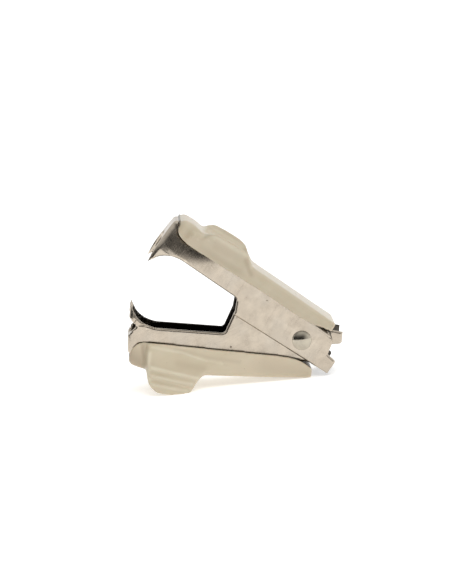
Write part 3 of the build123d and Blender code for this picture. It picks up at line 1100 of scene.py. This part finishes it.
# The viewing angle, in degrees and metres
VIEW_LOWER_SLOPE = 4.6
CAMERA_ELEVATION = 9.3
CAMERA_LEFT = 2.0
CAMERA_DISTANCE = 0.64
SENSOR = 0.036
VIEW_HEIGHT = 0.1524
AIM_LEFT = 0.0203
AIM_UP = 0.0136
RIVET_FACE = SEAT + HEAD_HEIGHT
FLOOR_REACH = 3.0
FLOOR_GLOW = 0.40
SOFTBOX_AT = (0.12, -0.38, 0.5)
SOFTBOX_SIZE = 0.35
SOFTBOX_POWER = 1.1
BRIGHT = 0.97
DARK = 0.045


def add_camera():
    roll = math.radians(LOWER_SLOPE - VIEW_LOWER_SLOPE)
    level_right = Vector((math.cos(roll), 0, -math.sin(roll)))
    level_up = Vector((math.sin(roll), 0, math.cos(roll)))
    lift, turn = math.radians(CAMERA_ELEVATION), math.radians(CAMERA_LEFT)
    level = Vector((0, -1, 0)) * math.cos(turn) - level_right * math.sin(turn)
    back = level * math.cos(lift) + level_up * math.sin(lift)
    right = level_up.cross(back).normalized()
    up = back.cross(right).normalized()
    target = Vector((pivot.x, -RIVET_FACE * MM, pivot.z)) - right * AIM_LEFT + up * AIM_UP
    data = bpy.data.cameras.new("camera")
    data.sensor_width = SENSOR * 1000
    data.lens = SENSOR * 1000 * CAMERA_DISTANCE / VIEW_HEIGHT
    data.clip_start, data.clip_end = 0.01, 20
    camera = bpy.data.objects.new("camera", data)
    axes = Matrix((right, up, back)).transposed().to_4x4()
    camera.matrix_world = Matrix.Translation(target + back * CAMERA_DISTANCE) @ axes
    bpy.context.collection.objects.link(camera)
    bpy.context.scene.camera = camera


def add_floor():
    n = Nodes("paper_floor")
    fibres = n.noise(n.place(), 30, 3)
    n.set(Base_Color=n.mix(fibres, (0.93, 0.93, 0.93), (0.95, 0.95, 0.95)), Roughness=0.9)
    n.set(Specular_IOR_Level=0.0, Emission_Color=(1, 1, 1, 1), Emission_Strength=FLOOR_GLOW)
    mesh = bpy.data.meshes.new("floor")
    corners = [(x * FLOOR_REACH, y * FLOOR_REACH, 0) for x, y in ((-1, -1), (1, -1), (1, 1), (-1, 1))]
    mesh.from_pydata(corners, [], [(0, 1, 2, 3)])
    mesh.materials.append(n.material)
    floor = bpy.data.objects.new("floor", mesh)
    bpy.context.collection.objects.link(floor)


def add_surroundings():
    """A bright studio with one dark side: low in front of the remover, up to a bright ceiling."""
    world = bpy.data.worlds.new("studio")
    bpy.context.scene.world = world
    world.use_nodes = True
    tree = world.node_tree
    background = tree.nodes["Background"]

    def node(kind, operation=None, *values):
        made = tree.nodes.new(kind)
        if operation:
            made.operation = operation
        for socket, value in zip(made.inputs, values):
            if isinstance(value, bpy.types.NodeSocket):
                tree.links.new(value, socket)
            else:
                socket.default_value = value
        return made

    def ramp(value, low, high):
        made = node("ShaderNodeMapRange", None, value, low, high, 0.0, 1.0)
        made.interpolation_type = "SMOOTHSTEP"
        return made.outputs[0]

    direction = node("ShaderNodeTexCoord").outputs["Generated"]
    axes = node("ShaderNodeSeparateXYZ", None, direction)
    x, y, z = axes.outputs
    in_front = ramp(y, 0.45, 0.05)
    not_right = ramp(x, 0.90, 0.15)
    below_ceiling = ramp(z, 1.0, 0.22)
    above_floor = ramp(z, -0.01, 0.0)
    dark = node("ShaderNodeMath", "MULTIPLY", in_front, not_right).outputs[0]
    dark = node("ShaderNodeMath", "MULTIPLY", dark, below_ceiling).outputs[0]
    dark = node("ShaderNodeMath", "MULTIPLY", dark, above_floor).outputs[0]
    strength = node("ShaderNodeMapRange", None, dark, 0.0, 1.0, BRIGHT, DARK)
    tree.links.new(strength.outputs[0], background.inputs["Strength"])
    background.inputs["Color"].default_value = (1.0, 0.995, 0.985, 1)


def add_softbox():
    """A soft light from the front and above that shapes the plastic and doesn't show in the steel."""
    data = bpy.data.lights.new("softbox", "AREA")
    data.shape, data.size, data.energy = "DISK", SOFTBOX_SIZE, SOFTBOX_POWER
    data.color = (1.0, 0.985, 0.955)
    light = bpy.data.objects.new("softbox", data)
    light.visible_glossy = False
    light.location = Vector(SOFTBOX_AT)
    light.rotation_euler = light.location.to_track_quat("Z", "Y").to_euler()
    bpy.context.collection.objects.link(light)


add_camera()
add_softbox()
add_floor()
add_surroundings()
bpy.context.scene.view_settings.view_transform = "Standard"
